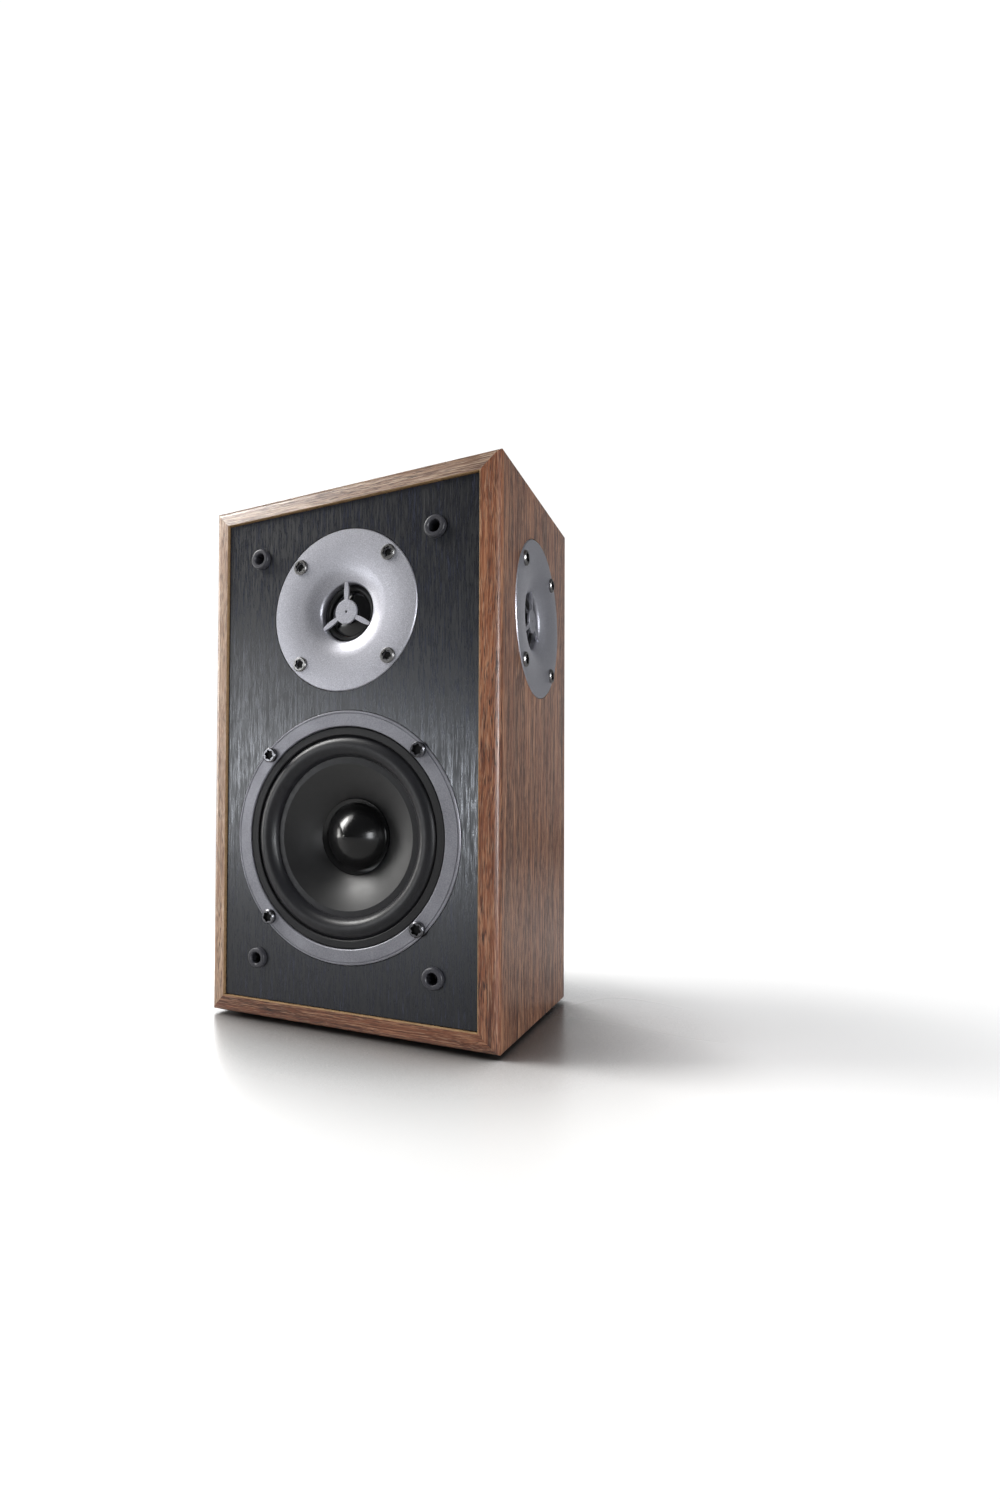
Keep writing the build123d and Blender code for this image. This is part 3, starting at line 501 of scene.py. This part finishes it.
dress("top_panel", K["top_panel"], K["mdf"], K["mdf_black"], K["top_panel_outer"], pick=case_pick((0, 0, -1)))
dress("bottom_panel", K["bottom_panel"], K["mdf"], K["mdf_black"], K["bottom_panel_outer"], pick=case_pick((0, 0, 1)))
dress("left_panel", K["left_panel"], K["mdf"], K["mdf_black"], K["left_panel_outer"], pick=case_pick((1, 0, 0)))
dress("right_panel", K["right_panel"], K["mdf"], K["mdf_black"], K["right_panel_outer"], pick=case_pick((-1, 0, 0)))
dress("front_baffle", K["baffle"], K["mdf_black"], pick=lambda n, c: ((n[:, 1] > -0.5) | (c[:, 1] > FACE + 0.0005)).astype(int))
dress("back_panel", K["back"], K["mdf"], pick=lambda n, c: (n[:, 1] < 0.5).astype(int))
PLAIN = {
    "rubber_feet": "foot", "grille_sockets": "socket", "reflex_port_tube": "port", "woofer_basket": "steel_black",
    "woofer_gasket": "foam", "woofer_trim_ring": "trim", "woofer_surround_clamp": "clamp",
    "woofer_dust_cap": "gloss", "woofer_coil_former": "former", "woofer_voice_coil": "w_coil", "woofer_top_plate": "zinc",
    "woofer_magnet": "ferrite", "woofer_yoke": "zinc", "woofer_terminals": "tags", "woofer_screws": "w_screw",
    "tweeter_top_plates": "t_zinc", "tweeter_yokes": "t_zinc", "tweeter_gaskets": "foam", "tweeter_screws": "t_screw",
    "terminal_cup": "cup", "terminal_cup_screws": "b_screw", "post_studs": "brass", "post_nuts": "brass",
    "red_post_knob": "red", "black_post_knob": "black", "red_post_washer": "brass", "black_post_washer": "brass",
    "crossover_board": "pcb", "crossover_capacitors": "capfilm", "crossover_coils": "x_coil",
    "crossover_resistors": "cement", "crossover_screws": "b_screw", "crossover_standoffs": "standoff",
}
for side in ("front", "left", "right"):
    PLAIN[side + "_tweeter_faceplate"] = "plate"
    PLAIN[side + "_tweeter_dome"] = "dome"
    PLAIN[side + "_tweeter_voice_coil"] = "t_coil"
    PLAIN[side + "_tweeter_magnet"] = "ferrite"
for name, key in PLAIN.items():
    if name not in ("woofer_screws", "tweeter_screws"):
        dress(name, K[key])


def recess_pick(units, reach):
    """1 inside the drive recess of each screw head, which takes a near-black painted shade; units are (centre, outward
    axis, pitch radius).
    """
    def pick(n, c):
        out = np.zeros(len(n), int)
        for centre, axis, pitch in units:
            axis = np.array(axis, float)
            u = np.array((0, 0, 1.0))
            w = np.cross(axis, u)
            rel = c - np.array(centre)
            depth = rel @ axis
            for deg in (45, 135, 225, 315):
                t = math.radians(deg)
                q = rel - pitch * (math.cos(t) * w + math.sin(t) * u)
                rad = np.sqrt(np.maximum((q * q).sum(1) - (q @ axis) ** 2, 0))
                near = (rad < 0.0045) & (depth > -0.02)
                if near.any():
                    top = depth[near].max()
                    out[near & (rad < reach) & (depth < top - 0.00004)] = 1
        return out
    return pick


dress("woofer_cone", K["cone"], K["surround"],
      pick=lambda n, c: (np.hypot(c[:, 0], c[:, 2] - 0.1071) > 0.0405).astype(int))
# the drive recesses take the near-black painted shade
dress("woofer_screws", K["w_screw"], K["recess"], pick=recess_pick([((0, Y0, 0.1071), (0, -1, 0), 0.0653)], 0.0031))
dress("tweeter_screws", K["t_screw"], K["recess"],
      pick=recess_pick([((0, FACE, 0.2316), (0, -1, 0), 0.0389), ((W / 2, 0.002335, 0.2316), (1, 0, 0), 0.0389),
                        ((-W / 2, 0.002335, 0.2316), (-1, 0, 0), 0.0389)], 0.0030))


# ---------------------------------------------------------------------------
# soft pieces, built in detail in place of the plain CAD solids
# ---------------------------------------------------------------------------
def place(origin, z_dir, x_dir):
    z, x = Vector(z_dir), Vector(x_dir)
    y = z.cross(x)
    m = Matrix.Identity(4)
    for i in range(3):
        m[i][0], m[i][1], m[i][2], m[i][3] = x[i], y[i], z[i], origin[i]
    return m


WOOF = place((0, Y0, 0.1071), (0, -1, 0), (1, 0, 0))
TWEET = {
    "front": place((0, FACE, 0.2316), (0, -1, 0), (1, 0, 0)),
    "right": place((W / 2, Y0 + 0.071, 0.2316), (1, 0, 0), (0, 1, 0)),
    "left": place((-W / 2, Y0 + 0.071, 0.2316), (-1, 0, 0), (0, -1, 0)),
}


def lathe(name, profile, at, material, n=192, weight=None, bodies=None):
    """Turn a closed profile of (radius, height) in millimetres; weight maps a radius to the blend between two bodies."""
    p = len(profile)
    r = np.array([q[0] for q in profile]) * MM
    h = np.array([q[1] for q in profile]) * MM
    a = np.linspace(0, 2 * math.pi, n, endpoint=False)
    v = np.stack([np.outer(np.cos(a), r), np.outer(np.sin(a), r), np.tile(h, (n, 1))], -1).reshape(-1, 3)
    faces = []
    for i in range(n):
        j = (i + 1) % n
        for k in range(p):
            l = (k + 1) % p
            faces.append((i * p + k, j * p + k, j * p + l, i * p + l))
    me = bpy.data.meshes.new(name)
    mat = np.array(at)
    me.from_pydata((v @ mat[:3, :3].T + mat[:3, 3]).tolist(), [], faces)
    me.update()
    import bmesh
    bm = bmesh.new()
    bm.from_mesh(me)
    bmesh.ops.recalc_face_normals(bm, faces=bm.faces)
    bm.to_mesh(me)
    bm.free()
    me.polygons.foreach_set("use_smooth", np.ones(len(me.polygons), bool))
    me.set_sharp_from_angle(angle=math.radians(35))
    me.materials.append(material)
    o = bpy.data.objects.new(name, me)
    scene.collection.objects.link(o)
    if weight is None:
        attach(o, bodies)
    else:
        s = at @ Vector((weight[0] * MM, 0, 0))
        e = at @ Vector((weight[1] * MM, 0, 0))
        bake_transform(o, bodies[0], bodies[1], start=s, end=e)
        rad = np.tile(r / MM, n)
        t = np.clip((rad - weight[0]) / (weight[1] - weight[0]), 0, 1)
        w = t * t * (3 - 2 * t)
        me.attributes["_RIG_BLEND"].data.foreach_set("value", w.astype(np.float32))
    return o


def arc3(a, m, b, n):
    """Points on the circle through three points, a to b."""
    (x1, y1), (x2, y2), (x3, y3) = a, m, b
    d = 2 * (x1 * (y2 - y3) + x2 * (y3 - y1) + x3 * (y1 - y2))
    ux = ((x1 ** 2 + y1 ** 2) * (y2 - y3) + (x2 ** 2 + y2 ** 2) * (y3 - y1) + (x3 ** 2 + y3 ** 2) * (y1 - y2)) / d
    uy = ((x1 ** 2 + y1 ** 2) * (x3 - x2) + (x2 ** 2 + y2 ** 2) * (x1 - x3) + (x3 ** 2 + y3 ** 2) * (x2 - x1)) / d
    t1, t2, t3 = (math.atan2(y - uy, x - ux) for x, y in (a, m, b))
    rad = math.hypot(x1 - ux, y1 - uy)
    span = (t3 - t1) % (2 * math.pi)
    if not 0 < (t2 - t1) % (2 * math.pi) < span:
        span -= 2 * math.pi
    return [(ux + rad * math.cos(t1 + span * i / n), uy + rad * math.sin(t1 + span * i / n)) for i in range(n + 1)]


def neg(points):
    return [(r, -d) for r, d in points]


# woofer surround: clamped flange, a small bead, the half roll, and the lap behind the cone's rim
outer = arc3((55.6, 3.85), (50.0, 1.0), (44.35, 6.2), 40)
inner = arc3((44.9, 6.6), (50.0, 1.7), (55.3, 4.6), 40)
prof = [(60.0, 4.6), (60.0, 3.9), (59.6, 3.85), (56.2, 3.85), (55.9, 3.70)] + outer[1:] + \
    [(44.35, 7.05), (41.3, 7.05), (41.2, 7.15), (41.2, 7.65), (41.3, 7.75), (44.9, 7.75)] + inner
w_sur = lathe("woofer_roll_surround", neg(prof), WOOF, K["surround"], 240, (55.2, 45.2), ("cabinet", "woofer_diaphragm"))
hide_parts("woofer_surround")

# spider: smooth corrugations
top, bot = [], []
N = 110
for i in range(N + 1):
    r = 13.1 + (34.6 - 13.1) * i / N
    fade = min(1.0, (r - 13.1) / 1.9, (34.6 - r) / 1.6)
    wave = -1.1 * math.sin(2 * math.pi * (r - 13.95) / 4.2) * max(fade, 0)
    d = 30.6 + 0.05 + wave * 0.92
    top.append((r, d - 0.22))
    bot.append((r, d + 0.22))
prof = top + [(36.0, 30.42), (41.0, 30.42), (41.0, 30.95), (36.0, 30.95)] + bot[::-1]
spi = lathe("woofer_corrugated_spider", neg(prof), WOOF, K["spider"], 160, (34.4, 13.6), ("cabinet", "woofer_diaphragm"))
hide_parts("woofer_spider")

# tweeter surrounds
for side in ("front", "left", "right"):
    o1 = arc3((15.9, -8.9), (14.25, -7.3), (12.6, -8.9), 18)
    i1 = arc3((12.9, -9.2), (14.25, -7.7), (15.6, -9.2), 18)
    prof = [(20.0, -9.2), (20.0, -8.95), (19.9, -8.9), (16.1, -8.9)] + o1 + [(12.6, -9.2)] + i1
    t = lathe(side + "_tweeter_roll", prof, TWEET[side], K["t_surround"], 96, (15.7, 12.9), ("cabinet", side + "_tweeter_diaphragm"))
    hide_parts(side + "_tweeter_surround")


# damping pad: crowned wadding with a lumpy skin
def wadding():
    lo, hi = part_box("damping_wadding")
    c, s = (lo + hi) / 2, (hi - lo) / 2
    nx, nz, ny = 84, 68, 10
    import bmesh
    bm = bmesh.new()
    bmesh.ops.create_cube(bm, size=2.0)
    bmesh.ops.subdivide_edges(bm, edges=bm.edges[:], cuts=5, use_grid_fill=True)
    me = bpy.data.meshes.new("damping_pad")
    bm.to_mesh(me)
    bm.free()
    o = bpy.data.objects.new("damping_pad", me)
    scene.collection.objects.link(o)
    sub = o.modifiers.new("sub", "SUBSURF")
    sub.subdivision_type = "SIMPLE"
    sub.levels = sub.render_levels = 3
    dg = bpy.context.evaluated_depsgraph_get()
    me2 = bpy.data.meshes.new_from_object(o.evaluated_get(dg))
    me2.name = "damping_pad"
    o.modifiers.clear()
    o.data = me2
    n = len(me2.vertices)
    v = np.zeros(n * 3)
    me2.vertices.foreach_get("co", v)
    v = v.reshape(-1, 3)
    # super-ellipse outline in X and Z, pillow crown towards the front
    q = 5.0
    m = np.maximum(np.abs(v[:, 0]), np.abs(v[:, 2]))
    l = (np.abs(v[:, 0]) ** q + np.abs(v[:, 2]) ** q) ** (1 / q)
    k = np.where(l > 1e-9, m / np.maximum(l, 1e-9), 1)
    x, z = v[:, 0] * k, v[:, 2] * k
    edge = 1 - np.clip(m, 0, 1) ** 6
    rng = np.random.default_rng(7)
    lump = np.zeros(n)
    for f, amp in ((3, 0.5), (7, 0.3), (15, 0.2)):
        for _ in range(5):
            a, b, p = rng.uniform(-f, f), rng.uniform(-f, f), rng.uniform(0, 6.28)
            lump += amp * np.sin(a * x * 2 + b * z * 2 + p) / 5
    front = np.clip(-v[:, 1], -1, 1)
    y = v[:, 1] * (0.55 + 0.45 * edge)
    y = np.where(v[:, 1] < 0, -1 + (y + 1) * 1.0 + 0.28 * (1 - edge) - 0.10 * (1 + lump) * 0.0 + 0.16 * (0.5 + 0.5 * lump) * edge, 1.0 * (v[:, 1]))
    out = np.stack([c.x + s.x * x * (0.985 + 0.015 * lump), c.y + s.y * y, c.z + s.z * z * (0.985 + 0.015 * lump)], -1)
    out[:, 1] = np.clip(out[:, 1], lo.y + 0.0002, hi.y - 0.0002)
    me2.vertices.foreach_set("co", out.ravel())
    me2.polygons.foreach_set("use_smooth", np.ones(len(me2.polygons), bool))
    me2.materials.clear()
    me2.materials.append(wadding_mat())
    me2.update()
    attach(o, "cabinet")
    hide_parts("damping_wadding")


wadding()


# internal cables: each a twisted pair in two colours
def cable(name, pts, c0, c1, turns_per_m=55):
    cu = bpy.data.curves.new(name + "_route", "CURVE")
    cu.dimensions = "3D"
    cu.resolution_u = 24
    sp = cu.splines.new("NURBS")
    sp.points.add(len(pts) - 1)
    for q, p in zip(sp.points, pts):
        q.co = (p[0] * MM, p[1] * MM + Y0, p[2] * MM + FOOT, 1)
    sp.order_u = 3
    sp.use_endpoint_u = True
    tmp = bpy.data.objects.new(name + "_route", cu)
    scene.collection.objects.link(tmp)
    dg = bpy.context.evaluated_depsgraph_get()
    me = bpy.data.meshes.new_from_object(tmp.evaluated_get(dg))
    line = np.array([v.co for v in me.vertices])
    bpy.data.objects.remove(tmp)
    seg = np.linalg.norm(np.diff(line, axis=0), axis=1)
    s = np.concatenate([[0], np.cumsum(seg)])
    keep = np.concatenate([[True], seg > 1e-7])
    line, s = line[keep], s[keep]
    total = s[-1]
    steps = max(int(total / 0.0012), 12)
    u = np.linspace(0, total, steps + 1)
    path = np.stack([np.interp(u, s, line[:, i]) for i in range(3)], -1)
    tan = np.gradient(path, axis=0)
    tan /= np.linalg.norm(tan, axis=1)[:, None]
    nrm = np.zeros_like(path)
    ref = np.cross(tan[0], [0.31, 0.52, 0.79])
    ref /= np.linalg.norm(ref)
    for i in range(len(path)):
        ref = ref - tan[i] * (ref @ tan[i])
        ref /= np.linalg.norm(ref)
        nrm[i] = ref
    bin_ = np.cross(tan, nrm)
    for j, mat in enumerate((c0, c1)):
        ph = 2 * math.pi * turns_per_m * u + math.pi * j
        off = 0.00072
        core = path + off * (np.cos(ph)[:, None] * nrm + np.sin(ph)[:, None] * bin_)
        rad, n = 0.00070, 12
        t2 = np.gradient(core, axis=0)
        t2 /= np.linalg.norm(t2, axis=1)[:, None]
        a = np.linspace(0, 2 * math.pi, n, endpoint=False)
        vs, fs = [], []
        ref = np.cross(t2[0], [0.31, 0.52, 0.79])
        for i in range(len(core)):
            ref = ref - t2[i] * (ref @ t2[i])
            ref /= np.linalg.norm(ref)
            b = np.cross(t2[i], ref)
            vs += [core[i] + rad * (math.cos(x) * ref + math.sin(x) * b) for x in a]
        for i in range(len(core) - 1):
            for k in range(n):
                l = (k + 1) % n
                fs.append((i * n + k, i * n + l, (i + 1) * n + l, (i + 1) * n + k))
        fs.append(tuple(range(n))[::-1])
        fs.append(tuple((len(core) - 1) * n + k for k in range(n)))
        me = bpy.data.meshes.new(f"{name}_{j}")
        me.from_pydata([tuple(v) for v in vs], [], fs)
        me.polygons.foreach_set("use_smooth", np.ones(len(me.polygons), bool))
        me.set_sharp_from_angle(angle=math.radians(50))
        me.materials.append(mat)
        me.update()
        o = bpy.data.objects.new(f"{name}_{j}", me)
        scene.collection.objects.link(o)
        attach(o, "cabinet")
        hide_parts("internal_wiring")


jr = paint("jacket_red", srgb(150, 22, 20), srgb(176, 34, 30), 0.42, 0.32, grain=900)
jb = paint("jacket_black", srgb(16, 16, 17), srgb(30, 30, 32), 0.42, 0.32, grain=900)
Dm, BT, TWX = 137.4, 22.6, 89.2 - 26.2
cable("cable_cup", [(0, Dm - 23.1, 54), (0, 104.5, 54), (0, 104.5, 38), (0, 104.5, BT + 0.1)], jr, jb)
cable("cable_woofer", [(0, 45.0, BT + 0.1), (0, 45.0, 37), (4.5, 38.5, 48), (4.5, 38.5, 59.0)], jr, jb)
cable("cable_front", [(-51, 99, BT + 0.1), (-51, 99, 60), (-64, 92, 112), (-62, 62, 165), (-36, 48, 205), (-12, 44, 222), (-12, 28.2, 222)], jr, jb)
cable("cable_left", [(-51, 80, BT + 0.1), (-51, 80, 58), (-57, 84, 112), (-51, 80, 165), (-49, 73, 205), (-54, 71, 219), (-TWX + 0.1, 71, 219)], jr, jb)
cable("cable_right", [(51, 80, BT + 0.1), (51, 80, 58), (57, 84, 112), (51, 80, 165), (49, 73, 205), (54, 71, 219), (TWX - 0.1, 71, 219)], jr, jb)


# ---------------------------------------------------------------------------
# stage: pale floor and soft studio light
# ---------------------------------------------------------------------------
me = bpy.data.meshes.new("floor")
n, rad = 96, 6.0
vs = [(0, 0, 0)] + [(rad * math.cos(2 * math.pi * i / n), rad * math.sin(2 * math.pi * i / n), 0) for i in range(n)]
me.from_pydata(vs, [], [(0, 1 + i, 1 + (i + 1) % n) for i in range(n)])
floor = bpy.data.objects.new("floor", me)
scene.collection.objects.link(floor)
fl = Mat("pale_floor", Specular_IOR_Level=0.5)
grain = fl.noise((3, 3, 3), 2)
dull = fl.t.nodes.new("ShaderNodeBsdfDiffuse")
fl.put(dull.inputs["Color"], fl.ramp(grain, [(0.3, (0.36, 0.36, 0.36, 1)), (0.7, (0.40, 0.40, 0.40, 1))]))
lit = fl.t.nodes.new("ShaderNodeBsdfDiffuse")
# painted contact shadow: ambient occlusion darkens the floor colour that the camera sees, near the object's base
ao = fl.t.nodes.new("ShaderNodeAmbientOcclusion")
ao.samples = 8
ao.inputs["Distance"].default_value = 0.12
FLOOR_GAIN = 1.35
shade = fl.ramp(ao.outputs["AO"], [(0.45, (0.03,) * 3 + (1,)), (0.60, (0.22,) * 3 + (1,)), (0.82, (0.62,) * 3 + (1,)), (0.98, (1, 1, 1, 1))])
painted_shadow_colour = fl.t.nodes.new("ShaderNodeVectorMath")
painted_shadow_colour.operation = "SCALE"
fl.t.links.new(shade, painted_shadow_colour.inputs[0])
fl.put(painted_shadow_colour.inputs["Scale"], fl.span(grain, 0.3, 0.7, FLOOR_GAIN * 0.98, FLOOR_GAIN))
fl.t.links.new(painted_shadow_colour.outputs[0], lit.inputs["Color"])
mirror = fl.t.nodes.new("ShaderNodeBsdfAnisotropic")
fl.put(mirror.inputs["Roughness"], fl.span(grain, 0.3, 0.7, 0.26, 0.32))
white = fl.t.nodes.new("ShaderNodeEmission")
white.inputs["Color"].default_value = (1, 1, 1, 1)
white.inputs["Strength"].default_value = 1.05


def blend_shader(fac, a, b):
    n = fl.t.nodes.new("ShaderNodeMixShader")
    fl.put(n.inputs[0], fac)
    fl.t.links.new(a, n.inputs[1])
    fl.t.links.new(b, n.inputs[2])
    return n.outputs[0]


fx, fy, fz = fl.xyz()
away = fl.math("SQRT", fl.math("ADD", fl.math("MULTIPLY", fx, fx), fl.math("MULTIPLY", fy, fy)))
far = fl.span(away, 0.17, 0.52, 0.0, 1.0)
near_look = blend_shader(far, lit.outputs[0], white.outputs[0])
gloss_fac = fl.span(away, 0.11, 0.34, 0.26, 0.0)
near_look = blend_shader(gloss_fac, near_look, mirror.outputs[0])
ray = fl.t.nodes.new("ShaderNodeLightPath").outputs["Is Camera Ray"]
fl.t.links.new(blend_shader(ray, dull.outputs[0], near_look), fl.out.inputs["Surface"])
me.materials.append(fl.m)

world = bpy.data.worlds.new("studio")
scene.world = world
world.use_nodes = True
wt = world.node_tree
bg = wt.nodes["Background"]
bg.name = "dim"
bg.inputs["Color"].default_value = (0.96, 0.98, 1.0, 1)
bg.inputs["Strength"].default_value = 0.08
sweep = wt.nodes.new("ShaderNodeBackground")
sweep.name = "sweep"
sweep.inputs["Color"].default_value = (1, 1, 1, 1)
sweep.inputs["Strength"].default_value = 1.0
backdrop = wt.nodes.new("ShaderNodeBackground")
backdrop.name = "backdrop"
backdrop.inputs["Color"].default_value = (1, 1, 1, 1)
backdrop.inputs["Strength"].default_value = 1.05
# a white paper sweep stands behind the object: a soft patch of the surroundings round one fixed bearing
wc = wt.nodes.new("ShaderNodeTexCoord")
wd = wt.nodes.new("ShaderNodeVectorMath")
wd.operation = "DOT_PRODUCT"
wt.links.new(wc.outputs["Generated"], wd.inputs[0])
wd.inputs[1].default_value = (-0.46, 0.87, 0.17)
wr = wt.nodes.new("ShaderNodeMapRange")
wr.interpolation_type = "SMOOTHSTEP"
wt.links.new(wd.outputs["Value"], wr.inputs["Value"])
wr.inputs["From Min"].default_value = 0.72
wr.inputs["From Max"].default_value = 0.90
near_mix = wt.nodes.new("ShaderNodeMixShader")
wt.links.new(wr.outputs[0], near_mix.inputs[0])
wt.links.new(bg.outputs[0], near_mix.inputs[1])
wt.links.new(sweep.outputs[0], near_mix.inputs[2])
seen = wt.nodes.new("ShaderNodeLightPath")
pick_bg = wt.nodes.new("ShaderNodeMixShader")
wt.links.new(seen.outputs["Is Camera Ray"], pick_bg.inputs[0])
wt.links.new(near_mix.outputs[0], pick_bg.inputs[1])
wt.links.new(backdrop.outputs[0], pick_bg.inputs[2])
wt.links.new(pick_bg.outputs[0], wt.nodes["World Output"].inputs["Surface"])


def area(name, loc, target, size, power, colour=(1, 1, 1), size_y=None, spread=180):
    l = bpy.data.lights.new(name, "AREA")
    l.energy = power
    l.color = colour
    l.shape = "RECTANGLE" if size_y else "SQUARE"
    l.size = size
    if size_y:
        l.size_y = size_y
    l.spread = math.radians(spread)
    o = bpy.data.objects.new(name, l)
    scene.collection.objects.link(o)
    o.location = loc
    o.rotation_euler = (Vector(target) - Vector(loc)).to_track_quat("-Z", "Y").to_euler()
    o.visible_camera = False
    return o


def softbox(name, azimuth, elevation, dist, w, h, power, colour=(1, 1, 1)):
    """A softbox seen from the object's front at a bearing: azimuth 0 is straight ahead, minus is to the left."""
    a, e = math.radians(azimuth), math.radians(elevation)
    c = Vector((0, -0.06, 0.15))
    p = c + dist * Vector((math.sin(a) * math.cos(e), -math.cos(a) * math.cos(e), math.sin(e)))
    return area(name, p, c, w, power, colour, h)


LIGHTS = [
    ("back_fill", -145, 24, 1.5, 0.9, 0.9, 14.0, (1, 1, 1)),
    ("key_left", -85, 8, 1.3, 0.5, 0.6, 5.5, (1.0, 0.985, 0.96)),
    ("front_left", -42, 5, 1.3, 0.4, 0.5, 2.5, (0.96, 0.98, 1)),
    ("sheen_wide", -30, 2.0, 1.3, 0.6, 0.20, 3.4, (0.88, 0.93, 1.0)),
    ("sheen_low", -18, -2, 1.3, 0.14, 0.16, 2.2, (0.88, 0.93, 1.0)),
    ("high_side", -73, 42, 1.3, 0.55, 0.55, 14.0, (1, 0.99, 0.97)),
    ("high_left", -57, 52, 1.3, 0.5, 0.5, 3.5, (1, 0.99, 0.97)),
        ("right_strip", 76, 2, 1.3, 0.12, 0.7, 9.0, (0.95, 0.97, 1.0)),
    ("right_front", 52, 1, 1.3, 0.20, 0.5, 2.5, (0.95, 0.97, 1.0)),
]
flagged = bpy.data.collections.new("baffle_only")
flagged.objects.link(nodes["front_baffle"])
for row in LIGHTS:
    box = softbox(*row)
    if row[0].startswith("sheen"):      # flagged off so that only the baffle catches them
        box.light_linking.receiver_collection = flagged
